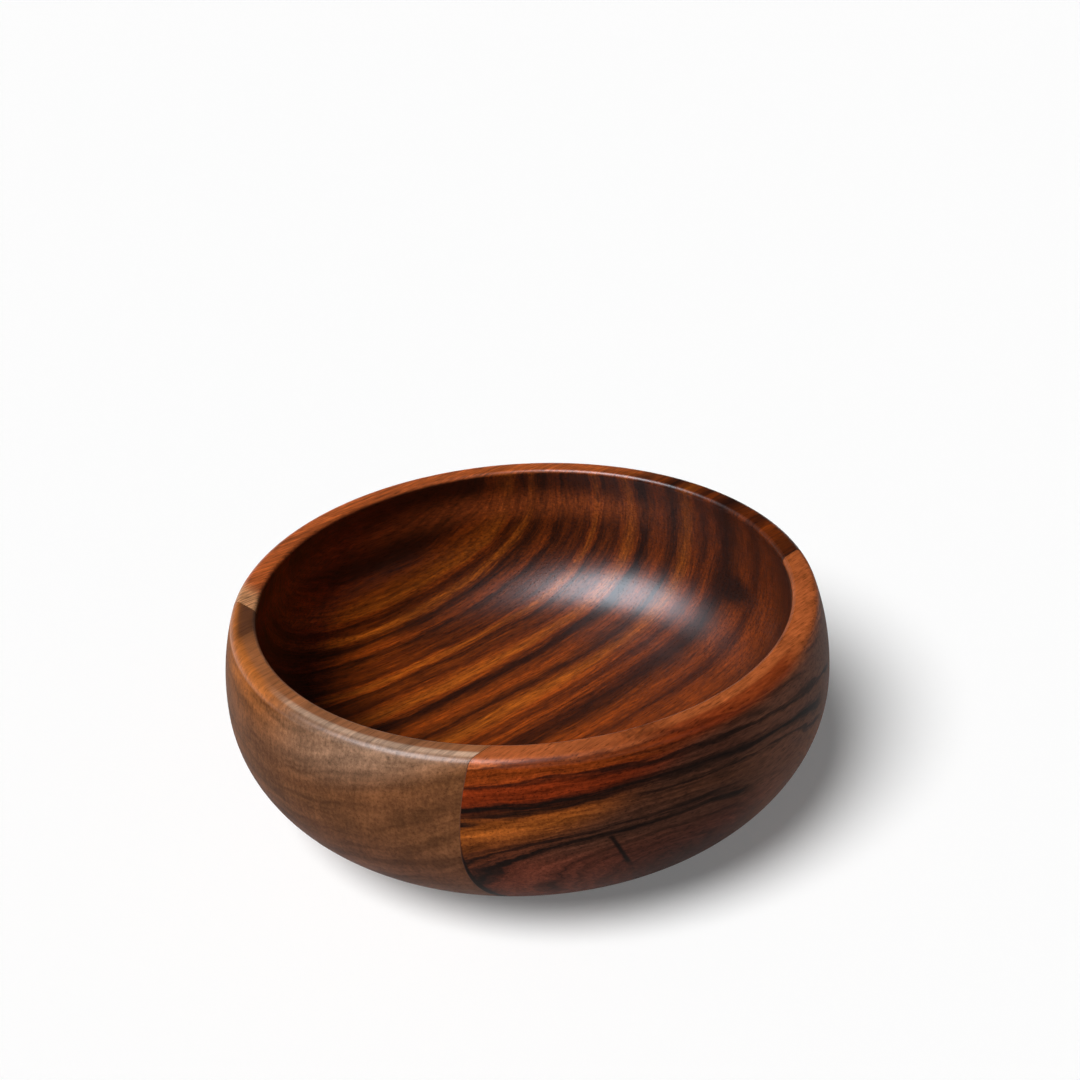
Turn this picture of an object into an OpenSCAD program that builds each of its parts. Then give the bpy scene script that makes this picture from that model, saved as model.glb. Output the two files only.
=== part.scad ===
// A round wooden bowl, turned from a blank of three glued boards.
// The grain of all three boards runs one way across the bowl. The main board holds the floor
// and most of the wall. The side board is glued along its edge, and the end block is butted to
// its end, so the turned wall crosses each glue joint on an oblique line.
// Frame: millimetres, +Z up, origin at the centre of the flat base.

/* [Bowl] */
// Diameter across the widest line of the wall
bowl_d = 200; // [160:1:260]
// Height from the flat base to the top of the rim
bowl_h = 72; // [64:0.5:84]
// Height of the widest line above the base
belly_z = 44.5; // [41:0.5:50]
// Diameter of the flat base
base_d = 108; // [84:1:130]

/* [Wall] */
// Wall thickness, square to the wall
wall_t = 7.8; // [6:0.1:10]
// Floor thickness at the centre
floor_t = 9; // [6:0.5:12]
// Radius of the outer curve above the widest line, where the wall leans in
upper_r = 78; // [60:0.5:120]
// Radius of the outer curve just below the widest line
belly_r = 37; // [32:0.5:40]
// Radius of the outer curve that sweeps in to the base
sweep_r = 90; // [70:1:140]

/* [Rim] */
// Radius of the rim's outer edge
rim_outer_r = 3; // [1:0.1:3.5]
// Radius of the rim's inner edge
rim_inner_r = 1.4; // [0.5:0.1:2]

/* [Boards] */
// Direction of the grain, from +X towards +Y, in degrees
grain_a = 43.8; // [0:0.1:90]
// Width left in the side board, from its glue joint to the widest line
side_w = 45; // [30:0.5:60]
// Length of the end block along the side joint, measured at the rim from the hollow's edge
end_l = 1.2; // [0.5:0.1:12]
// Thickness of the glue in each joint
glue_t = 0.2; // [0.1:0.05:0.5]

/* [Hidden] */
$fn = 144;

bowl_r = bowl_d / 2;
base_r = base_d / 2;
hollow_upper_r = upper_r - wall_t;
hollow_belly_r = belly_r - wall_t;

// How far cutting shapes reach past what they cut
room = 1;
// How deep curves that touch are let into each other, so that they cross at one clear point
seam = 0.01;

// The upper and belly curves, outer and inner, have their two centres on the widest line
upper_c = [bowl_r - upper_r, belly_z];
belly_c = [bowl_r - belly_r, belly_z];

// The sweep passes through the edge of the base and touches the belly curve from outside it
base_edge = [base_r, 0];
to_belly = belly_c - base_edge;
gap_r = sweep_r - belly_r;
sweep_turn = acos((sweep_r ^ 2 + norm(to_belly) ^ 2 - gap_r ^ 2) / (2 * sweep_r * norm(to_belly)));
sweep_a = atan2(to_belly.y, to_belly.x) + sweep_turn;
sweep_c = base_edge + sweep_r * [cos(sweep_a), sin(sweep_a)];

// The dished floor has its centre on the axis and touches the hollow's belly curve
drop = belly_z - floor_t;
dish_r = (drop ^ 2 + belly_c.x ^ 2 - hollow_belly_r ^ 2) / (2 * (drop - hollow_belly_r));
dish_c = [0, floor_t + dish_r];

// Each rim round touches the flat top and, at reach from its centre, one wall curve
function rim_centre(r, reach) = [upper_c.x + sqrt(reach ^ 2 - (bowl_h - r - belly_z) ^ 2), bowl_h - r];
rim_outer_c = rim_centre(rim_outer_r, upper_r - rim_outer_r);
rim_inner_c = rim_centre(rim_inner_r, hollow_upper_r + rim_inner_r);

// Directions square to the two glue joints, pointing out of the main board
side_a = grain_a - 90;
end_a = grain_a + 180;

// Place of each glue joint, measured from the axis. The two joints meet in the hollow, inside
// the rim's edge, so that no loose tip of the main board is left between them in the wall
rim_edge_r = rim_inner_c.x - rim_inner_r;
side_x = bowl_r - side_w;
end_x = sqrt(rim_edge_r ^ 2 - side_x ^ 2) - end_l;

// Angle of the line from the wall curves' centre to p
function wall_angle(p) = atan2(p.y - upper_c.y, p.x - upper_c.x);

// A disc of radius r about c
module disc(c, r) {
    translate(c)
        circle(r = r);
}

// The rectangle between two opposite corners
module between(low, high) {
    translate(low)
        square(high - low);
}

// Half of a bowl's outline: an upper curve and a belly curve, both set in by inset, then a
// lower curve of radius low_r about low_c, up to where it touches the belly curve
module half_outline(inset, low_c, low_r, top) {
    touch = low_c + low_r * (belly_c - low_c) / norm(belly_c - low_c);
    intersection() {
        disc(upper_c, upper_r - inset);
        between([0, belly_z], [bowl_d, top]);
    }
    intersection() {
        disc(belly_c, belly_r - inset);
        between([belly_c.x, 0], [bowl_d, belly_z]);
    }
    intersection() {
        disc(low_c, low_r - seam);
        between([0, 0], [touch.x, belly_z]);
    }
}

// What a round of radius r about c takes off a corner, from one touching angle to the next
module corner_waste(c, r, from_a, to_a) {
    reach = 3 * r;
    step = (to_a - from_a) / 4;
    difference() {
        polygon([c, for (i = [0 : 4]) c + reach * [cos(from_a + i * step), sin(from_a + i * step)]]);
        disc(c, r + seam);
    }
}

// The wall and floor, cut through the axis
module bowl_section() {
    difference() {
        union() {
            half_outline(0, sweep_c, sweep_r, bowl_h);
            between([0, 0], [sweep_c.x, belly_z]);
        }
        half_outline(wall_t, dish_c, dish_r, bowl_h + room);
        corner_waste(rim_outer_c, rim_outer_r, wall_angle(rim_outer_c), 90);
        corner_waste(rim_inner_c, rim_inner_r, 90, 180 + wall_angle(rim_inner_c));
    }
}

// The whole turned bowl, before its boards are told apart
module turned_bowl() {
    rotate_extrude()
        bowl_section();
}

// Upright slab square to direction a, between two distances from the axis
module slab(a, near, far) {
    rotate([0, 0, a])
        translate([near, -bowl_d, -room])
            cube([far - near, 2 * bowl_d, bowl_h + 2 * room]);
}

// All that lies beyond one face of a glue joint: side is -1 for the near face, 1 for the far one
module beyond_side(side) {
    slab(side_a, side_x + side * glue_t / 2, bowl_d);
}

module beyond_end(side) {
    slab(end_a, end_x + side * glue_t / 2, bowl_d);
}

// Main board: the floor, the base and the back of the wall
module main_board() {
    color("saddlebrown")
        difference() {
            turned_bowl();
            beyond_side(-1);
            beyond_end(-1);
        }
}

// Side board: the rust-coloured wall at the front and right
module side_board() {
    color("sienna")
        intersection() {
            turned_bowl();
            beyond_side(1);
        }
}

// End block: the pale wall at the front and left
module end_block() {
    color("tan")
        difference() {
            intersection() {
                turned_bowl();
                beyond_end(1);
            }
            beyond_side(-1);
        }
}

// Glue between the side board and the other two
module side_glue_line() {
    color("black")
        intersection() {
            turned_bowl();
            slab(side_a, side_x - glue_t / 2, side_x + glue_t / 2);
        }
}

// Glue between the end block and the main board
module end_glue_line() {
    color("black")
        difference() {
            intersection() {
                turned_bowl();
                slab(end_a, end_x - glue_t / 2, end_x + glue_t / 2);
            }
            beyond_side(-1);
        }
}

main_board();
side_board();
end_block();
side_glue_line();
end_glue_line();
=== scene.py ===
# %% [markdown]
# # A turned wooden bowl
# This lesson dresses a round wooden bowl that was turned from a blank of three glued boards. The
# fixed frame is the solid model: it gives every board its place, in metres, with +Z up and the origin
# at the centre of the flat base. We load it first and keep its box, because the finished bowl must
# be exactly as large.

# %% The fixed frame
import math

import bpy
from mathutils import Matrix, Vector


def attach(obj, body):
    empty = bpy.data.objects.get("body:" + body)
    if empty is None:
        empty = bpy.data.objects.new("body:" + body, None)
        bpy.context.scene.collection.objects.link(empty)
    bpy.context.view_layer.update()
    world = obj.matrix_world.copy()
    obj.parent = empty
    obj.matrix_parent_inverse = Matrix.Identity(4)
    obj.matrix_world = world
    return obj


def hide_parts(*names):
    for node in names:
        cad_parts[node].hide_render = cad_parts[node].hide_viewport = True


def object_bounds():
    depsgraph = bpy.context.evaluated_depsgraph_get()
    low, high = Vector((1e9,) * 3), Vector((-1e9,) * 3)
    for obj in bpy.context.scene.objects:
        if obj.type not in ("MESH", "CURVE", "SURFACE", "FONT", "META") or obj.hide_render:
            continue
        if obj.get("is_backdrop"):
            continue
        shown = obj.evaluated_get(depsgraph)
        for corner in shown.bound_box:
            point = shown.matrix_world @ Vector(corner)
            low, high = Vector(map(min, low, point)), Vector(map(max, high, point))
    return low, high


MM = 0.001

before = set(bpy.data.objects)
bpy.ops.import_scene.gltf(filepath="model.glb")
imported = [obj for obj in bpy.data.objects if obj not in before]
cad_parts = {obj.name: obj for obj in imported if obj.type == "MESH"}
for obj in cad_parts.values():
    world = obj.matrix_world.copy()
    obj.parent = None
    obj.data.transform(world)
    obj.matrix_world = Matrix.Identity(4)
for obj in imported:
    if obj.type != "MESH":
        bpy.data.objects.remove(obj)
cad_low, cad_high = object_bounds()
print("frame:", sorted(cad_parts), "box in mm", [round(v / MM, 2) for v in cad_high - cad_low])

# %% [markdown]
# ## The sizes of the section
# A turner works to a section: the line that the gouge follows, from the middle of the base, out and
# round the belly, over the rim and back down the hollow to the middle of the floor. Every stretch of
# it is an arc that touches the next, so a handful of sizes give the whole line. They are the same
# sizes as the solid model's. The mesh could also be copied from the frame's own triangles, but a
# freshly turned one has even faces and clean highlights.

# %% Sizes of the section, in metres
BOWL_R = 100 * MM
BOWL_H = 72 * MM
BELLY_Z = 44.5 * MM
BASE_R = 54 * MM
WALL_T = 7.8 * MM
FLOOR_T = 9 * MM
UPPER_R = 78 * MM
BELLY_R = 37 * MM
SWEEP_R = 90 * MM
RIM_OUTER_R = 3 * MM
RIM_INNER_R = 1.4 * MM

# The upper and belly curves, outer and inner, have their two centres on the widest line.
upper_c = Vector((BOWL_R - UPPER_R, BELLY_Z))
belly_c = Vector((BOWL_R - BELLY_R, BELLY_Z))
hollow_upper_r = UPPER_R - WALL_T
hollow_belly_r = BELLY_R - WALL_T

# The sweep runs from the edge of the base to the belly curve, and touches it.
base_edge = Vector((BASE_R, 0))
to_belly = belly_c - base_edge
reach = to_belly.length
gap_r = SWEEP_R - BELLY_R
sweep_turn = math.acos((SWEEP_R ** 2 + reach ** 2 - gap_r ** 2) / (2 * SWEEP_R * reach))
sweep_a = math.atan2(to_belly.y, to_belly.x) + sweep_turn
sweep_c = base_edge + SWEEP_R * Vector((math.cos(sweep_a), math.sin(sweep_a)))

# The dished floor has its centre on the axis and touches the hollow's belly curve.
drop = BELLY_Z - FLOOR_T
dish_r = (drop ** 2 + belly_c.x ** 2 - hollow_belly_r ** 2) / (2 * (drop - hollow_belly_r))
dish_c = Vector((0, FLOOR_T + dish_r))
print("sweep centre", [round(v / MM, 2) for v in sweep_c], "mm; dish radius", round(dish_r / MM, 2), "mm")

# %% The rounds of the rim


def rim_centre(r, reach_r):
    """Centre of a rim round that touches the flat top and, at reach_r, one wall curve."""
    z = BOWL_H - r
    return Vector((upper_c.x + math.sqrt(reach_r ** 2 - (z - BELLY_Z) ** 2), z))


rim_outer_c = rim_centre(RIM_OUTER_R, UPPER_R - RIM_OUTER_R)
rim_inner_c = rim_centre(RIM_INNER_R, hollow_upper_r + RIM_INNER_R)
print("rim rounds at radius", round(rim_outer_c.x / MM, 2), "and", round(rim_inner_c.x / MM, 2), "mm")

# %% [markdown]
# ## Drawing the section with a compass
# In Blender, Spin works as a pair of compasses: it carries the selected point round a centre and
# leaves an edge at each step. So the section is drawn arc by arc from one point at the middle of the
# base. A curve object could hold the same line, but spun points sit exactly on their arcs.

# %% A pen and a compass
FULL_TURN = 2 * math.pi
ACROSS_SECTION = (0, 1, 0)

pen = Vector((0, 0, 0))


def deselect_objects():
    """Leave no object selected or in edit mode."""
    if bpy.context.object and bpy.context.object.mode != "OBJECT":
        bpy.ops.object.mode_set(mode="OBJECT")
    bpy.ops.object.select_all(action="DESELECT")


def bearing(start, end):
    """Angle of the line from start to end, in the section's plane."""
    return math.atan2(end.y - start.y, end.x - start.x)


def straight_to(x, z):
    """Extrude the section's last point to (x, z)."""
    bpy.ops.mesh.extrude_vertices_move(TRANSFORM_OT_translate={"value": Vector((x, 0, z)) - pen})
    pen.xyz = (x, 0, z)


def arc_to(centre, end_a, steps):
    """Carry the section's last point round centre, to the angle end_a."""
    start_a = math.atan2(pen.z - centre.y, pen.x - centre.x)
    turn = (end_a - start_a + math.pi) % FULL_TURN - math.pi
    radius = math.hypot(pen.x - centre.x, pen.z - centre.y)
    bpy.ops.mesh.spin(steps=steps, angle=turn, center=(centre.x, 0, centre.y), axis=ACROSS_SECTION)
    pen.xyz = (centre.x + radius * math.cos(end_a), 0, centre.y + radius * math.sin(end_a))


print("the pen starts at", tuple(pen))

# %% The section as a chain of arcs
MERGE = 0.001 * MM
TOP_A = math.pi / 2
SIDE_A = 0
LOWEST_A = -math.pi / 2

deselect_objects()
bpy.ops.mesh.primitive_plane_add(size=BASE_R, location=(0, 0, 0))
blank = bpy.context.object
blank.name = "turned_blank"
bpy.ops.object.mode_set(mode="EDIT")
bpy.ops.mesh.select_all(action="SELECT")
bpy.ops.mesh.merge(type="CENTER")
straight_to(BASE_R, 0)
arc_to(sweep_c, bearing(sweep_c, belly_c), steps=26)
arc_to(belly_c, SIDE_A, steps=18)
arc_to(upper_c, bearing(upper_c, rim_outer_c), steps=16)
arc_to(rim_outer_c, TOP_A, steps=12)
straight_to(rim_inner_c.x, BOWL_H)
arc_to(rim_inner_c, bearing(rim_inner_c, upper_c), steps=10)
arc_to(upper_c, SIDE_A, steps=16)
arc_to(belly_c, bearing(dish_c, belly_c), steps=18)
arc_to(dish_c, LOWEST_A, steps=26)
bpy.ops.object.mode_set(mode="OBJECT")
on_axis = [round(v.co.z / MM, 3) for v in blank.data.vertices if abs(v.co.x) < MERGE]
print("section:", len(blank.data.vertices), "points, on the axis at", on_axis, "mm")

# %% [markdown]
# ## Turning the blank
# Spinning the whole section once round the axis turns the bowl, as the lathe does. A Screw modifier
# would do the same, but the operator leaves a plain mesh that can be cut at once. The last copy
# lands on the first, so doubles are merged, and then the normals are made to point outwards. The
# sharp edge of the base is softened by a small bevel, as sandpaper leaves it.

# %% The turned blank
TURN_STEPS = 288
BASE_SOFT = 0.7 * MM
BASE_SOFT_STEPS = 3

bpy.ops.object.mode_set(mode="EDIT")
bpy.ops.mesh.select_all(action="SELECT")
bpy.ops.mesh.spin(steps=TURN_STEPS, angle=FULL_TURN, center=(0, 0, 0), axis=(0, 0, 1))
bpy.ops.mesh.select_all(action="SELECT")
bpy.ops.mesh.remove_doubles(threshold=MERGE)
bpy.ops.mesh.normals_make_consistent(inside=False)
bpy.ops.mesh.select_all(action="DESELECT")
bpy.ops.mesh.select_mode(type="EDGE")
bpy.ops.object.mode_set(mode="OBJECT")
for edge in blank.data.edges:
    tips = [blank.data.vertices[i].co for i in edge.vertices]
    edge.select = all(abs(tip.z) < MERGE and abs(tip.xy.length - BASE_R) < MERGE for tip in tips)
bpy.ops.object.mode_set(mode="EDIT")
bpy.ops.mesh.bevel(offset=BASE_SOFT, segments=BASE_SOFT_STEPS, affect="EDGES")
bpy.ops.mesh.select_mode(type="VERT")
bpy.ops.object.mode_set(mode="OBJECT")
print("turned blank:", len(blank.data.polygons), "faces")

# %% [markdown]
# ## Cutting the boards apart
# The real blank was glued up before it was turned, so each board is the part of the turned shape that
# lies on its own side of the glue joints. Bisect does this: it slices a copy of the blank with a
# plane, throws one side away and fills the cut. A Boolean would give the same shape, but a plane cut
# keeps the even faces of the turning.

# %% The glue joints
GRAIN_A = math.radians(43.8)
SIDE_WIDE = 45 * MM
END_SHORT = 1.2 * MM
GLUE_T = 0.2 * MM

along_grain = Vector((math.cos(GRAIN_A), math.sin(GRAIN_A), 0))
to_side = Vector((math.sin(GRAIN_A), -math.cos(GRAIN_A), 0))
to_end = -along_grain
side_x = BOWL_R - SIDE_WIDE

# The butt joint lies END_SHORT inside the point where the long joint meets the rim's inner edge.
rim_edge_r = rim_inner_c.x - RIM_INNER_R
end_x = math.sqrt(rim_edge_r ** 2 - side_x ** 2) - END_SHORT
near_side = (to_side, side_x - GLUE_T / 2)
far_side = (to_side, side_x + GLUE_T / 2)
near_end = (to_end, end_x - GLUE_T / 2)
far_end = (to_end, end_x + GLUE_T / 2)

# %% The boards and the films of glue
CUT_MERGE = 0.01 * MERGE
SMOOTH_A = math.radians(32)


def sliced(name, cuts):
    """A copy of the blank, cut by planes: (direction, distance, keep 'near' or 'far' side) for each."""
    deselect_objects()
    blank.select_set(True)
    bpy.context.view_layer.objects.active = blank
    bpy.ops.object.duplicate()
    piece = bpy.context.object
    piece.name = name
    piece.data.name = name
    bpy.ops.object.mode_set(mode="EDIT")
    for direction, distance, side in cuts:
        bpy.ops.mesh.select_all(action="SELECT")
        bpy.ops.mesh.bisect(
            plane_co=direction * distance, plane_no=direction, use_fill=True,
            clear_inner=side == "far", clear_outer=side == "near", threshold=CUT_MERGE)
    bpy.ops.mesh.select_all(action="SELECT")
    bpy.ops.mesh.normals_make_consistent(inside=False)
    bpy.ops.object.mode_set(mode="OBJECT")
    bpy.ops.object.shade_smooth_by_angle(angle=SMOOTH_A)
    print(name, len(piece.data.polygons), "faces, box in mm", [round(v / MM, 1) for v in piece.dimensions])
    return piece


main_board = sliced("turned_main_board", [(*near_side, "near"), (*near_end, "near")])
side_board = sliced("turned_side_board", [(*far_side, "far")])
end_block = sliced("turned_end_block", [(*near_side, "near"), (*far_end, "far")])
side_glue = sliced("side_glue_film", [(*near_side, "far"), (*far_side, "near")])
end_glue = sliced("end_glue_film", [(*near_side, "near"), (*near_end, "far"), (*far_end, "near")])
bpy.data.objects.remove(blank)

# %% [markdown]
# ## Tools for the finishes
# Colours are written as the sRGB hex values that a paint chart gives, and one function turns them to
# the linear values that Blender works in. One more function adds a node with its settings and links,
# so that each finish below reads as a list of what it is made of.

# %% Colour and node helpers


def tone(code):
    """Linear RGBA of an sRGB hex colour."""
    parts = [int(code[i:i + 2], 16) / 255 for i in (1, 3, 5)]
    return (*[p / 12.92 if p <= 0.04045 else ((p + 0.055) / 1.055) ** 2.4 for p in parts], 1)


def add(tree, kind, sockets=None, **settings):
    """Add a node: settings are its properties, and sockets its inputs, each a value or a link."""
    made = tree.nodes.new("ShaderNode" + kind)
    for name, value in settings.items():
        setattr(made, name, value)
    for name, value in (sockets or {}).items():
        if isinstance(value, bpy.types.NodeSocket):
            tree.links.new(value, made.inputs[name])
        else:
            made.inputs[name].default_value = value
    return made


def new_finish(name):
    """An empty material, with its tree and its surface shader."""
    made = bpy.data.materials.new(name)
    made.use_nodes = True
    return made, made.node_tree, made.node_tree.nodes["Principled BSDF"]


print("a mid grey, #808080, is", round(tone("#808080")[0], 3), "in linear light")

# %% [markdown]
# ## How wood is drawn
# Wood is a bundle of fibres that grew in layers. Three things give it its looks: the layers, which
# show as stripes of different tone, the fibres, which show as fine streaks along the grain, and the
# pores, which are long open tubes. They are dashes on a surface along the grain, and dots on one across
# it. A flat pattern wrapped round the bowl would break at the rim and at the joints. So all three are
# drawn in the solid, in axes along and across the grain and in millimetres: the figure runs through
# the board, and every turned surface cuts it as it would cut the real wood.

# %% Grain axes
MM_PER_M = 1000


def grain_axes(tree, angle):
    """Millimetres along the grain, across it towards the side joint, and up."""
    place = add(tree, "TexCoord").outputs["Object"]
    turned = add(tree, "Mapping", {
        "Vector": place, "Rotation": (0, 0, -angle), "Scale": (MM_PER_M,) * 3})
    split = add(tree, "SeparateXYZ", {0: turned.outputs[0]})
    across = add(tree, "Math", {0: split.outputs["Y"], 1: -1}, operation="MULTIPLY")
    return split.outputs["X"], across.outputs[0], split.outputs["Z"]


def off_axis(tree, along, across):
    """Distance from the turning axis, in mm."""
    spoke = add(tree, "CombineXYZ", {0: along, 1: across}).outputs[0]
    return add(tree, "VectorMath", {0: spoke}, operation="LENGTH").outputs["Value"]


print("the grain runs", round(math.degrees(GRAIN_A), 1), "degrees round from +X")

# %% Noise, pores and layers
PORE_CORE = 0.4


def wood_cells(tree, axes, sizes):
    """The place in the wood, counted in cells of these sizes in mm."""
    place = add(tree, "CombineXYZ", dict(enumerate(axes)))
    return add(tree, "VectorMath", {0: place.outputs[0], 1: sizes}, operation="DIVIDE").outputs[0]


def wood_noise(tree, axes, sizes, detail=3, rough=0.55):
    """Noise from 0 to 1 whose cells have these sizes in mm along the three axes."""
    place = wood_cells(tree, axes, sizes)
    made = add(tree, "TexNoise", {"Vector": place, "Scale": 1, "Detail": detail, "Roughness": rough})
    return made.outputs["Fac"]


def wood_pores(tree, axes, sizes, width):
    """1 in the middle of a pore and 0 between pores; width is the pore's share of its cell."""
    place = wood_cells(tree, axes, sizes)
    spots = add(tree, "TexVoronoi", {"Vector": place, "Scale": 1, "Randomness": 1}, feature="F1")
    return add(tree, "MapRange", {
        "Value": spots.outputs["Distance"], "From Min": width, "From Max": PORE_CORE * width}).outputs[0]


def wandering(tree, layer, axes, sizes, reach, detail=3, rough=0.55):
    """The place among the layers, pushed to and fro by noise of these cell sizes, by reach mm in all."""
    noise = wood_noise(tree, axes, sizes, detail, rough)
    push = add(tree, "MapRange", {"Value": noise, "To Min": -reach / 2, "To Max": reach / 2}).outputs[0]
    return add(tree, "Math", {0: layer, 1: push}, operation="ADD").outputs[0]


def off_layer(tree, layer, place):
    """Distance from one place among the layers, in mm."""
    off = add(tree, "Math", {0: layer, 1: place}, operation="SUBTRACT").outputs[0]
    return add(tree, "Math", {0: off}, operation="ABSOLUTE").outputs[0]


print("a pore is fully dark in", PORE_CORE, "of its width")

# %% Tones, shades and stains
ALL = (0, 1)
NOISE_SPAN = (0.3, 0.7)


def layer_tones(tree, layer, stops):
    """Colours of the growth layers: stops are (place in mm, tone)."""
    low = stops[0][0]
    high = stops[-1][0]
    share = add(tree, "MapRange", {"Value": layer, "From Min": low, "From Max": high})
    ramp = add(tree, "ValToRGB", {"Fac": share.outputs[0]})
    elements = ramp.color_ramp.elements
    for place, colour in stops[1:-1]:
        elements.new((place - low) / (high - low)).color = tone(colour)
    elements[0].color = tone(stops[0][1])
    elements[-1].color = tone(stops[-1][1])
    return ramp.outputs["Color"]


def shaded(tree, colour, factor, low, high, span=NOISE_SPAN):
    """The colour times low where factor is at the start of its span, and times high at the end."""
    gain = add(tree, "MapRange", {
        "Value": factor, "From Min": span[0], "From Max": span[1], "To Min": low, "To Max": high})
    return add(tree, "VectorMath", {0: colour, "Scale": gain.outputs[0]}, operation="SCALE").outputs[0]


def covered(tree, edges, share=1):
    """A patch with soft edges, from 0 to share: each edge is (value, where it starts, where it is full)."""
    cover = share
    for value, start, full in edges:
        edge = add(tree, "MapRange", {
            "Value": value, "From Min": start, "From Max": full}, interpolation_type="SMOOTHSTEP")
        cover = add(tree, "Math", {0: edge.outputs[0], 1: cover}, operation="MULTIPLY").outputs[0]
    return cover


def stained(tree, colour, tint, edges, share=1):
    """The colour under a stain that covers the patch inside these edges."""
    mixed = add(tree, "Mix", {
        "Factor": covered(tree, edges, share), "A": colour, "B": tone(tint)}, data_type="RGBA")
    return mixed.outputs["Result"]


print("noise shades the wood where it lies in", NOISE_SPAN)

# %% [markdown]
# ## How the oil lies
# All three boards were sanded and oiled together. The hollow was rubbed until the oil closed to a
# satin film, so it shows one soft highlight. Hands have polished the rim a little. Outside, the oil has
# sunk in, and the wood looks dull, with a weak, warm gleam. A second material inside would give the
# same, but with a hard border, so the film is the shader's coat. It lies where the surface faces a
# point in the hollow, and pores break it. Real pores and fibres are about 0.1 to 0.3 mm wide, too fine
# for a picture of the whole bowl, so both are drawn about three times as coarse.

# %% The oiled finish
WOOD_IOR = 1.5
DULL_ROUGH = 0.55
DULL_GLEAM = 0.04
HONEY = "#e8c9b4"
IN_HOLLOW = (0, 0, 60 * MM)
FILM_EDGE = 2 * MM
FILM_ROUGH = 0.34
FILM_IN_PORES = 0.75
RIM_FILM = 0.55
RIM_TOP = (69.2, 70.4)
PORE_BUMP = 0.35
PORE_DEPTH = 0.05 * MM


def oiled(tree, shader, colour, pores, pore_shade, rubbed):
    """Oiled wood: a satin film in the hollow and inside the edges in rubbed, and dull, sunk pores."""
    tree.links.new(shaded(tree, colour, pores, 1, pore_shade, ALL), shader.inputs["Base Color"])
    shader.inputs["Roughness"].default_value = DULL_ROUGH
    shader.inputs["IOR"].default_value = WOOD_IOR
    shader.inputs["Specular IOR Level"].default_value = DULL_GLEAM
    shader.inputs["Specular Tint"].default_value = tone(HONEY)
    place = add(tree, "TexCoord").outputs["Object"]
    outwards = add(tree, "VectorMath", {0: place, 1: IN_HOLLOW}, operation="SUBTRACT").outputs[0]
    normal = add(tree, "NewGeometry").outputs["Normal"]
    facing = add(tree, "VectorMath", {0: outwards, 1: normal}, operation="DOT_PRODUCT").outputs["Value"]
    inside = covered(tree, [(facing, FILM_EDGE, -FILM_EDGE)])
    on_rim = covered(tree, rubbed, RIM_FILM)
    film = add(tree, "Math", {0: inside, 1: on_rim}, operation="MAXIMUM").outputs[0]
    tree.links.new(shaded(tree, film, pores, 1, FILM_IN_PORES, ALL), shader.inputs["Coat Weight"])
    shader.inputs["Coat Roughness"].default_value = FILM_ROUGH
    relief = add(tree, "Bump", {"Height": pores, "Strength": PORE_BUMP, "Distance": PORE_DEPTH}, invert=True)
    tree.links.new(relief.outputs[0], shader.inputs["Normal"])
    tree.links.new(relief.outputs[0], shader.inputs["Coat Normal"])


print("the film's roughness is", FILM_ROUGH, "and the dull wood's", DULL_ROUGH)

# %% [markdown]
# ## The main board
# Striped acacia heartwood, turned, sanded and oiled. Its layers stand nearly upright across the
# bowl, so they show as straight stripes on the floor, climb the back wall on the right, and lie as
# nested bows on the back wall on the left, where the layers lean. A wave texture would repeat too
# evenly. Here each broad stripe has its own place, one noise bends it, and a finer one feathers its
# edges into streaks. One colour ramp holds at most 32 tones, so the stripes lie on two.

# %% Striped heartwood: tones and places of the stripes, in mm across the board
INK = "#280c01"
COCOA = "#411702"
UMBER = "#592403"
RUST = "#722f05"
AMBER = "#8a440c"
SPLIT = -66
BACK_STRIPES = [
    (-134, AMBER), (-128, RUST), (-124, RUST), (-120, UMBER), (-116, COCOA), (-112, COCOA), (-109, INK),
    (-106.5, COCOA), (-104, RUST), (-97, AMBER), (-95, RUST), (-93.3, COCOA), (-91, UMBER), (-88.7, AMBER),
    (-86.8, UMBER), (-85, INK), (-82.5, UMBER), (-79.7, RUST), (-77.5, INK), (-75, UMBER), (-72, COCOA),
    (-69, UMBER), (SPLIT, COCOA)]
FRONT_STRIPES = [
    (SPLIT, COCOA), (-64.3, RUST), (-62.5, AMBER), (-60.7, RUST), (-59.2, INK), (-57, UMBER),
    (-54.5, UMBER), (-52.6, COCOA), (-50.5, RUST), (-46, AMBER), (-43, RUST), (-41, INK), (-38.5, INK),
    (-36.5, UMBER), (-32, RUST), (-29.5, UMBER), (-27, INK), (-25, UMBER), (-21, AMBER), (-17, RUST),
    (-13, COCOA), (-9.5, RUST), (-6, COCOA), (-2, INK), (3, UMBER), (8, RUST), (14.5, COCOA), (19, RUST),
    (25, RUST), (31, UMBER), (40, COCOA), (62, COCOA)]
print(len(BACK_STRIPES), "tones at the back and", len(FRONT_STRIPES), "in front")

# %% Striped heartwood: the layers
STRIPE_A = math.radians(37)
LEAN_SPAN = (-35, -80)
LEANS = (0.12, 0.5)

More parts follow.
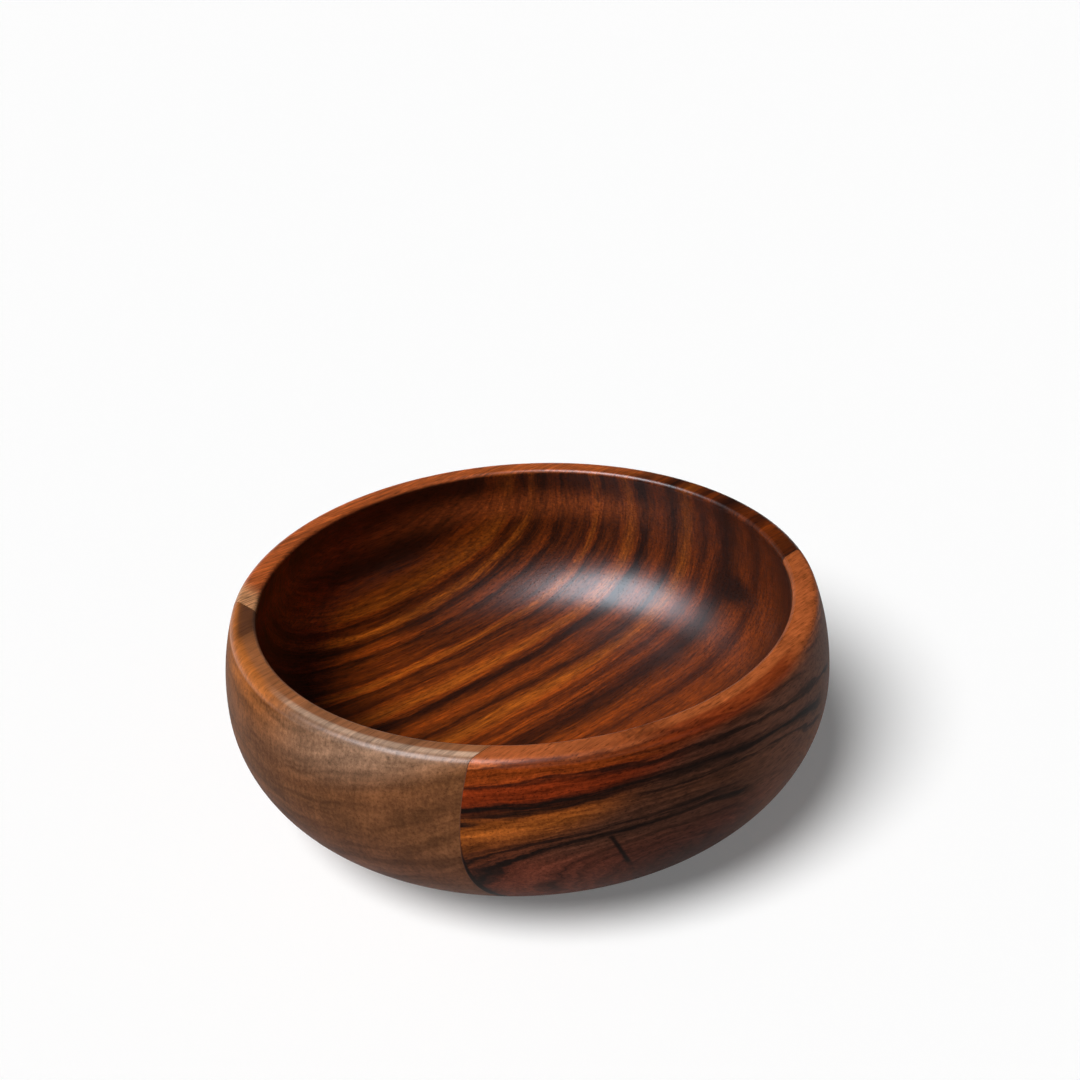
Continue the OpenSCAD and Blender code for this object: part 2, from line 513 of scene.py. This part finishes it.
striped, tree, shader = new_finish("acacia_striped_heartwood_oiled")
along, across, up = grain_axes(tree, STRIPE_A)
lean = add(tree, "MapRange", {
    "Value": across, "From Min": LEAN_SPAN[0], "From Max": LEAN_SPAN[1],
    "To Min": LEANS[0], "To Max": LEANS[1]}).outputs[0]
risen = add(tree, "Math", {0: up, 1: FLOOR_T / MM}, operation="SUBTRACT").outputs[0]
leaned = add(tree, "Math", {0: lean, 1: risen}, operation="MULTIPLY").outputs[0]
upright = add(tree, "Math", {0: across, 1: leaned}, operation="SUBTRACT").outputs[0]
bent = wandering(tree, upright, (along, upright, up), sizes=(60, 16, 40), reach=6)
layer = wandering(tree, bent, (along, bent, up), sizes=(18, 0.9, 6), reach=8, detail=5, rough=0.7)
is_front = add(tree, "Math", {0: layer, 1: SPLIT}, operation="GREATER_THAN").outputs[0]
back_tones = layer_tones(tree, layer, BACK_STRIPES)
front_tones = layer_tones(tree, layer, FRONT_STRIPES)
colour = add(tree, "Mix", {
    "Factor": is_front, "A": back_tones, "B": front_tones}, data_type="RGBA").outputs["Result"]
print(striped.name, "has its layers,", len(tree.nodes), "nodes so far")

# %% Striped heartwood: burl, painted shade and light, and rim
RUBBED = "#ac5526"
SUNNED = "#b8845a"
BURL_AT = (91, 7, 37)
BURL_SIZE = (9, 13, 7)

# A dark burl in the right wall
place = add(tree, "CombineXYZ", {0: along, 1: across, 2: up}).outputs[0]
from_burl = add(tree, "VectorMath", {0: place, 1: BURL_AT}, operation="SUBTRACT").outputs[0]
from_burl = add(tree, "VectorMath", {0: from_burl, 1: BURL_SIZE}, operation="DIVIDE").outputs[0]
from_burl = add(tree, "VectorMath", {0: from_burl}, operation="LENGTH").outputs["Value"]
colour = stained(tree, colour, INK, [(from_burl, 1.15, 0.4)])

# Painted shade and light on the board: darker towards the right wall, partly the wood's own tone and
# partly painted shade where that wall overhangs; painted shade on the left wall, which lies in shadow;
# painted light far back on the left, where the floor lies in shade; and lighter on the floor
colour = shaded(tree, colour, along, low=1, high=0.76, span=(15, 88))
painted_light_far_left = covered(tree, [(along, 12, -22), (across, -45, -70)])
colour = shaded(tree, colour, painted_light_far_left, low=1, high=2.4, span=ALL)
colour = shaded(tree, colour, along, low=1, high=0.4, span=(-28, -50))
colour = shaded(tree, colour, up, low=1.5, high=1, span=(9.5, 15))

# A rim and outer edge that hands and sun have lightened
outward = off_axis(tree, along, across)
colour = stained(tree, colour, RUBBED, [(outward, 89, 92), (up, 46, 60), (across, -20, -55)], share=0.85)
colour = stained(tree, colour, RUBBED, [(up, 70.5, 71.5), (across, -20, -60)], share=0.75)
colour = stained(tree, colour, SUNNED, [(up, 69, 71), (along, -63, -70)], share=0.9)
print(striped.name, "has its drift of tone,", len(tree.nodes), "nodes so far")

# %% Striped heartwood: streaks, fibres, pores and oil
streaks = wood_noise(tree, (along, bent, up), sizes=(24, 1, 7), detail=5, rough=0.68)
colour = shaded(tree, colour, streaks, low=0.35, high=1.6)
fibres = wood_noise(tree, (along, across, up), sizes=(6, 0.9, 0.9), detail=4, rough=0.7)
colour = shaded(tree, colour, fibres, low=0.45, high=1.55)
pores = wood_pores(tree, (along, across, up), sizes=(4, 0.9, 0.9), width=0.34)
oiled(tree, shader, colour, pores, pore_shade=0.7, rubbed=[(up, *RIM_TOP)])
print(striped.name, len(tree.nodes), "nodes")

# %% [markdown]
# ## The side board
# Rust-red heartwood of the same kind, cut closer to the bark's side, so that the turned wall slices its
# curved layers into wide nested arches. Thin black veins follow the layers, and one short crack, a
# check, crosses them. The arches are ellipses in the height and in the length of the board, and below
# their middle the layers run straight down. A wave texture in rings could draw them, but here every
# vein has its own width and length, so each is a stain along one layer.

# %% Rust heartwood: the arched layers
PLUM = "#5a2c1e"
CLARET = "#5a2b1c"
COFFEE = "#562b14"
GOLD = "#864618"
COPPER = "#733a13"
PEAT = "#552912"
BRICK = "#6f270c"
FLAME = "#75310e"
SANDED = "#a2542a"
ARCHES = [
    (0, PLUM), (10, PLUM), (14, CLARET), (18, COFFEE), (21.5, GOLD), (24, COPPER), (26, PEAT), (29, BRICK),
    (33, BRICK), (35.5, FLAME), (38, FLAME), (39.3, SANDED), (48, SANDED)]
ARCH_A = math.radians(24)
ARCH_FLAT = 3.3
ARCH_SHIFT = 3
ARCH_FOOT = 33
ARCH_TILT = 0.022

rust_wood, tree, shader = new_finish("acacia_rust_heartwood_oiled")
along, across, up = grain_axes(tree, ARCH_A)
wide = add(tree, "Math", {
    0: along, 1: 1 / ARCH_FLAT, 2: ARCH_SHIFT / ARCH_FLAT}, operation="MULTIPLY_ADD").outputs[0]
high_up = add(tree, "Math", {0: up, 1: ARCH_FOOT}, operation="SUBTRACT").outputs[0]
high_up = add(tree, "Math", {0: high_up, 1: 0}, operation="MAXIMUM").outputs[0]
arch = add(tree, "CombineXYZ", {0: wide, 1: high_up}).outputs[0]
arch = add(tree, "VectorMath", {0: arch}, operation="LENGTH").outputs["Value"]
arch = add(tree, "Math", {0: along, 1: ARCH_TILT, 2: arch}, operation="MULTIPLY_ADD").outputs[0]
bent = wandering(tree, arch, (along, across, up), sizes=(26, 30, 6), reach=4, detail=4, rough=0.6)
layer = wandering(tree, bent, (along, bent, across), sizes=(16, 0.9, 12), reach=3.5, detail=4, rough=0.65)
colour = layer_tones(tree, layer, ARCHES)
print(rust_wood.name, "has", len(ARCHES), "tones in its arches")

# %% Rust heartwood: smoke, streaks, dark patches and painted shade
PITCH = "#150c09"
SMOKE = "#44291d"
DUSK = "#644030"
SMOKE_LEAN = -1.86

# The right end is smokier, the more so lower down; the streaks are weaker on the sanded rim. Below the
# belly, painted shade darkens the wall towards the base, most of all low on the right end
drift = add(tree, "Math", {0: up, 1: SMOKE_LEAN, 2: along}, operation="MULTIPLY_ADD").outputs[0]
colour = stained(tree, colour, SMOKE, [(drift, -137, -112), (up, 72.5, 66), (up, 36, 46)], share=0.9)
streaks = wood_noise(tree, (along, bent, across), sizes=(34, 1.1, 14), detail=5, rough=0.65)
streaked = shaded(tree, colour, streaks, low=0.3, high=1.75)
on_rim = add(tree, "MapRange", {"Value": up, "From Min": 69, "From Max": 71, "To Max": 0.6}).outputs[0]
colour = add(tree, "Mix", {
    "Factor": on_rim, "A": streaked, "B": colour}, data_type="RGBA").outputs["Result"]
# Painted shade: darker towards the base, below the belly
colour = shaded(tree, colour, up, low=1, high=0.66, span=(36, 20))
colour = stained(tree, colour, PITCH, [(along, -40, -15), (along, 45, 15), (up, 69, 64)], share=0.3)
# Painted shade low on the right end, where the wall faces the shadowed floor
colour = stained(tree, colour, PITCH, [(up, 48, 28), (along, -30, 5)], share=0.65)
colour = stained(tree, colour, DUSK, [(along, 15, 40), (up, 69, 64)], share=0.6)
outward = off_axis(tree, along, across)
red_edge = [(outward, 91.5, 93), (up, 68, 70), (along, -15, 8), (along, 58, 45)]
colour = stained(tree, colour, BRICK, red_edge, share=0.75)
print(rust_wood.name, "has its patches,", len(tree.nodes), "nodes so far")

# %% Rust heartwood: veins, the check and drawn-in glue
# Each vein: its layer in mm, half its width, its depth of tone, and where it starts and ends along the board
VEINS = [
    (38.2, 0.7, 0.4, -90, 60), (35.6, 0.9, 0.55, -20, 40), (33.8, 1.1, 0.8, -90, 0),
    (33, 1.3, 0.85, -30, 80), (27.8, 2.4, 1, -90, 70), (26, 1.3, 0.9, -62, -15),
    (24.2, 1.5, 1, -90, -50), (24.2, 0.9, 0.8, -20, 70), (16.8, 1.1, 0.9, -90, 20),
    (14.6, 1.7, 1, -90, 30)]
VEIN_FADE = 10
CHECK_LEAN = 0.47
CHECK_AT = 0.15
SEEP_LEAN = 0.09

for vein, width, depth, start, end in VEINS:
    aside = off_layer(tree, layer, vein)
    edges = [(aside, width, 0), (along, start, start + VEIN_FADE), (along, end, end - VEIN_FADE)]
    colour = stained(tree, colour, PITCH, edges, share=depth)

# The check: a short crack that crosses the layers, a few millimetres deep from the outer wall
slanted = add(tree, "Math", {0: up, 1: CHECK_LEAN, 2: along}, operation="MULTIPLY_ADD").outputs[0]
aside = off_layer(tree, slanted, CHECK_AT)
colour = stained(tree, colour, PITCH, [(aside, 1.3, 0.2), (up, 31, 35), (up, 47, 45), (across, 91, 94)])

# Glue drawn into the wood beside the joint, wider towards the base
fibre_axes = grain_axes(tree, GRAIN_A)
seep = add(tree, "Math", {0: up, 1: SEEP_LEAN, 2: fibre_axes[1]}, operation="MULTIPLY_ADD").outputs[0]
colour = stained(tree, colour, PITCH, [(seep, 59.5, 58.8)])
print(rust_wood.name, "has", len(VEINS), "veins")

# %% Rust heartwood: fibres, pores and oil
# The fibres run along the joint. The film on the rim thins towards the right.
fibres = wood_noise(tree, fibre_axes, sizes=(6, 0.9, 0.9), detail=4, rough=0.7)
colour = shaded(tree, colour, fibres, low=0.6, high=1.4)
pores = wood_pores(tree, fibre_axes, sizes=(5, 0.8, 0.8), width=0.32)
oiled(tree, shader, colour, pores, pore_shade=0.55, rubbed=[(up, *RIM_TOP), (along, 30, -20)])
print(rust_wood.name, len(tree.nodes), "nodes")

# %% [markdown]
# ## The end block
# Pale wood with its grain pointing out of the bowl, so the turned wall cuts straight across the fibres.
# End grain shows the pores as fine dots, the layers as faint wavy bands and the rays as upright lines
# like silk. One noise for all of it would look like felt, so bands, rays and fibres each have their own,
# at their own size. The rim has been rubbed to a warm tan, and a painted highlight lies as one pale
# line along its outer edge.

# %% Pale end grain: bands, stains and a painted highlight
DRAB = "#583727"
TAWNY = "#5d3a23"
NUT = "#643e25"
FAWN = "#6f472a"
STRAW = "#876751"
WARM = "#7b4519"
RUBBED_WARM = "#a86028"
RIM_TAN = "#8a5533"
PAINTED_HIGHLIGHT_TONE = "#b4957e"
BURNT = "#4a2a19"
BANDS = [(10, DRAB), (30, DRAB), (46, TAWNY), (60, NUT), (72, FAWN)]
CLIMB_START = -10
CLIMB = -0.004

pale_wood, tree, shader = new_finish("acacia_pale_end_grain_oiled")
along, across, up = grain_axes(tree, GRAIN_A)
rise = add(tree, "Math", {0: across, 1: CLIMB_START}, operation="SUBTRACT").outputs[0]
rise = add(tree, "Math", {0: rise, 1: 0}, operation="MAXIMUM").outputs[0]
climb = add(tree, "Math", {0: rise, 1: 2}, operation="POWER").outputs[0]
level = add(tree, "Math", {0: climb, 1: CLIMB, 2: up}, operation="MULTIPLY_ADD").outputs[0]
layer = wandering(tree, level, (along, across, up), sizes=(60, 30, 14), reach=9)
colour = layer_tones(tree, up, BANDS)
colour = stained(tree, colour, STRAW, [(across, -25, 30), (level, 50, 64)])
colour = stained(tree, colour, WARM, [(across, 5, -30), (up, 56, 70)])
colour = stained(tree, colour, RUBBED_WARM, [(across, 0, -20), (up, 68.5, 70.5)], share=0.85)
outward = off_axis(tree, along, across)
colour = stained(tree, colour, RIM_TAN, [(outward, 93, 91), (up, 69, 70.5)], share=0.85)
# A painted highlight: a pale line along the rim's outer edge
painted_highlight_line = [(across, -25, 10), (outward, 91, 92.2), (outward, 94.2, 93), (up, 69.6, 70.8)]
colour = stained(tree, colour, PAINTED_HIGHLIGHT_TONE, painted_highlight_line, share=0.85)
colour = stained(tree, colour, BURNT, [(across, -44, -50), (outward, 94.5, 92), (up, 62, 70)], share=0.8)
print(pale_wood.name, "has its stains,", len(tree.nodes), "nodes so far")

# %% Pale end grain: bands, rays, fibres, pores and oil
bands = wood_noise(tree, (along, across, layer), sizes=(60, 34, 3.4), detail=2, rough=0.6)
colour = shaded(tree, colour, bands, low=0.64, high=1.36)
mottle = wood_noise(tree, (along, across, up), sizes=(30, 14, 9), detail=2)
colour = shaded(tree, colour, mottle, low=0.82, high=1.18)
silk = wood_noise(tree, (along, across, up), sizes=(16, 2, 18), detail=2, rough=0.6)
colour = shaded(tree, colour, silk, low=0.88, high=1.12)
fibres = wood_noise(tree, (along, across, up), sizes=(14, 1.2, 1.2), detail=4, rough=0.75)
colour = shaded(tree, colour, fibres, low=0.6, high=1.4)
pores = wood_pores(tree, (along, across, up), sizes=(7, 0.8, 0.8), width=0.3)
oiled(tree, shader, colour, pores, pore_shade=0.7, rubbed=[(up, *RIM_TOP)])
print(pale_wood.name, len(tree.nodes), "nodes")

# %% [markdown]
# ## The glue
# A film of cured wood glue, which dries dark between oiled boards and shows only as a hairline. It
# could be a dark line in the boards' own finishes, but the film is a piece of its own, so it gets a
# finish of its own: dark specks in brown, paler in the upper wall, where the line hardly shows.

# %% Cured glue
GLUE_BLACK = "#140b07"
GLUE_BROWN = "#33201a"
GLUE_THIN = "#5c3824"
SPECK = 1.5
THIN_ABOVE = (38 * MM, 52 * MM)
GLUE_ROUGH = 0.6
GLUE_GLEAM = 0.1

cured_glue, tree, shader = new_finish("cured_wood_glue")
place = add(tree, "TexCoord").outputs["Object"]
specks = add(tree, "TexNoise", {"Vector": place, "Scale": MM_PER_M / SPECK, "Detail": 2}).outputs["Fac"]
film = add(tree, "Mix", {
    "Factor": specks, "A": tone(GLUE_BLACK), "B": tone(GLUE_BROWN)}, data_type="RGBA").outputs["Result"]
height = add(tree, "SeparateXYZ", {0: place}).outputs["Z"]
film = stained(tree, film, GLUE_THIN, [(height, *THIN_ABOVE)], share=0.9)
tree.links.new(film, shader.inputs["Base Color"])
shader.inputs["Roughness"].default_value = GLUE_ROUGH
shader.inputs["Specular IOR Level"].default_value = GLUE_GLEAM
print(cured_glue.name, len(tree.nodes), "nodes")

# %% [markdown]
# ## The stage
# The bowl stands on white paper that runs up into a white background, in a dark room. The floor is a
# pale sheet. Where the camera or a reflection sees it, it is lifted a little towards white, so that it
# stays white and still keeps the bowl's shadow. The world shows the camera the same white. In
# reflections it is the room: a white wall, bright at the left and dim at the right, under a dark
# ceiling. It lights the bowl only by a weak, even fill. A bright world would be simpler, but it would
# lay a grey veil over the dark, oiled wood.

# %% Floor
WHITE = "#ffffff"
PAPER = "#f0f0f0"
PAPER_LIFT = 0.15
FLOOR_WIDE = 40

deselect_objects()
bpy.ops.mesh.primitive_plane_add(size=FLOOR_WIDE, location=(0, 0, 0))
floor = bpy.context.object
floor.name = "floor"
floor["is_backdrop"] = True
paper, tree, shader = new_finish("pale_floor_paper")
rays = add(tree, "LightPath")
seen = add(tree, "Math", {
    0: rays.outputs["Is Camera Ray"], 1: rays.outputs["Is Glossy Ray"]}, operation="MAXIMUM")
seen = add(tree, "Math", {0: seen.outputs[0], 1: rays.outputs["Is Transmission Ray"]}, operation="MAXIMUM")
lift = add(tree, "Math", {0: seen.outputs[0], 1: PAPER_LIFT}, operation="MULTIPLY")
tree.links.new(lift.outputs[0], shader.inputs["Emission Strength"])
shader.inputs["Emission Color"].default_value = tone(WHITE)
shader.inputs["Base Color"].default_value = tone(PAPER)
shader.inputs["Roughness"].default_value = 1
shader.inputs["Specular IOR Level"].default_value = 0
floor.data.materials.append(paper)
print("stage:", floor.name, [round(v) for v in floor.dimensions.xy], "m")

# %% World
BACKDROP = 0.975
DARK_SIDE = 0.15
CEILING = 0.01
FILL_SHARE = 0.03
WALL_SPAN = (-0.2, 0.4)
CEILING_SPAN = (0.02, 0.2)

world = bpy.data.worlds.new("studio")
bpy.context.scene.world = world
world.use_nodes = True
tree = world.node_tree
rays = add(tree, "LightPath")
mirrored = add(tree, "Math", {
    0: rays.outputs["Is Glossy Ray"], 1: rays.outputs["Is Transmission Ray"]}, operation="MAXIMUM")
aim = add(tree, "SeparateXYZ", {0: add(tree, "TexCoord").outputs["Generated"]})
wall = add(tree, "MapRange", {
    "Value": aim.outputs["X"], "From Min": WALL_SPAN[0], "From Max": WALL_SPAN[1],
    "To Min": BACKDROP, "To Max": DARK_SIDE})
room = add(tree, "MapRange", {
    "Value": aim.outputs["Z"], "From Min": CEILING_SPAN[0], "From Max": CEILING_SPAN[1],
    "To Min": wall.outputs[0], "To Max": CEILING})
level = add(tree, "Mix", {
    "Factor": mirrored.outputs[0], "A": FILL_SHARE, "B": room.outputs[0]}, data_type="FLOAT")
level = add(tree, "Mix", {
    "Factor": rays.outputs["Is Camera Ray"], "A": level.outputs[0], "B": BACKDROP}, data_type="FLOAT")
tree.links.new(level.outputs[0], tree.nodes["Background"].inputs["Strength"])
tree.nodes["Background"].inputs["Color"].default_value = tone(WHITE)
print("world:", world.name, len(tree.nodes), "nodes")

# %% [markdown]
# ## The lights
# One large softbox at the front left lights the bowl. A sun lamp with a wide disc stands for it, because
# a softbox that is far away lights the floor evenly, and an area lamp would fall off across it. The
# soft edge of the shadow fits a disc 32 degrees wide. The highlight in the hollow is wider, bluer and
# brightest in its middle, as the front cloth of a softbox is when it is seen mirrored. So the work is
# split: the key lamp lights the wood and casts the shadow but isn't mirrored, and two more discs, the
# softbox's middle and its edge, are only seen mirrored in the oil.

# %% Lamps
KEY_A = math.radians(-134)
KEY_E = math.radians(54)
KEY_WIDTH = math.radians(32)
KEY_SHARE = 0.92
SHEEN_A = math.radians(-148)
SHEEN_E = math.radians(54)
SHEENS = [("softbox_middle", math.radians(44), 5.5), ("softbox_edge", math.radians(76), 1.0)]
DAYLIGHT = "#e2f1ff"


def add_lamp(name, azimuth, height, width, energy, colour):
    """A sun lamp whose disc is this wide, shining from this azimuth and height."""
    level_x = math.cos(height) * math.cos(azimuth)
    level_y = math.cos(height) * math.sin(azimuth)
    toward = Vector((level_x, level_y, math.sin(height)))
    lamp_data = bpy.data.lights.new(name, "SUN")
    lamp_data.angle = width
    lamp_data.energy = energy
    lamp_data.color = tone(colour)[:3]
    lamp = bpy.data.objects.new(name, lamp_data)
    lamp.location = toward
    lamp.rotation_euler = toward.to_track_quat("Z", "Y").to_euler()
    bpy.context.scene.collection.objects.link(lamp)
    print(name, "disc", round(math.degrees(width)), "degrees wide, energy", round(energy, 2))
    return lamp


# This energy lights a level white surface to KEY_SHARE of white.
key_energy = KEY_SHARE * math.pi / math.sin(KEY_E)
key = add_lamp("key_softbox", KEY_A, KEY_E, KEY_WIDTH, key_energy, WHITE)
key.visible_glossy = False
for name, width, energy in SHEENS:
    sheen = add_lamp(name, SHEEN_A, SHEEN_E, width, energy, DAYLIGHT)
    sheen.visible_diffuse = False

# %% [markdown]
# ## The camera
# The camera could be placed by eye, but its place, aim and lens can be worked out from the photograph:
# the rim's inner and outer edges are two circles at known heights, and only one camera sees both, and
# the outline of the wall, where the photograph does. The picture is turned a little, so the camera
# rolls by a few degrees.

# %% Camera
CAMERA_AT = Vector((0, -0.4374, 0.3241))
CAMERA_AIM = Vector((0.00639, 0, 0.08873))
CAMERA_ROLL = math.radians(-3.26)
LENS_MM = 51.2
SENSOR_MM = 36

camera_data = bpy.data.cameras.new("camera")
camera_data.sensor_width = SENSOR_MM
camera_data.lens = LENS_MM
camera = bpy.data.objects.new("camera", camera_data)
bpy.context.scene.collection.objects.link(camera)
aimed = (CAMERA_AIM - CAMERA_AT).to_track_quat("-Z", "Y").to_matrix().to_4x4()
camera.matrix_world = Matrix.Translation(CAMERA_AT) @ aimed @ Matrix.Rotation(CAMERA_ROLL, 4, "Z")
bpy.context.scene.camera = camera
bpy.context.scene.view_settings.view_transform = "Standard"
print("camera", round((CAMERA_AIM - CAMERA_AT).length, 3), "m from its aim, sees",
      round(math.degrees(camera_data.angle), 1), "degrees")

# %% [markdown]
# ## Putting the pieces in place
# Each piece gets its finish, takes the place of its board or glue line in the fixed frame, and rides on
# the root, because a glued bowl has no moving joint. Last, both boxes are written down, the fixed
# frame's and the finished bowl's. They should agree to a small part of a millimetre.

# %% Finish
for piece, node, slot, finish in [
        (main_board, "main_board", "striped_heartwood", striped),
        (side_board, "side_board", "rust_heartwood", rust_wood),
        (end_block, "end_block", "pale_wood", pale_wood),
        (side_glue, "side_glue_line", "glue", cured_glue),
        (end_glue, "end_glue_line", "glue", cured_glue)]:
    piece.data.materials.clear()
    piece.data.materials.append(finish)
    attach(piece, "root")
    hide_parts(node)
    print(piece.name, "replaces", node, "in", finish.name)

low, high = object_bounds()
off = max(abs(v) for v in [*(low - cad_low), *(high - cad_high)])
print("visual box in mm", [round(v / MM, 2) for v in high - low], "off by at most", round(off / MM, 4))
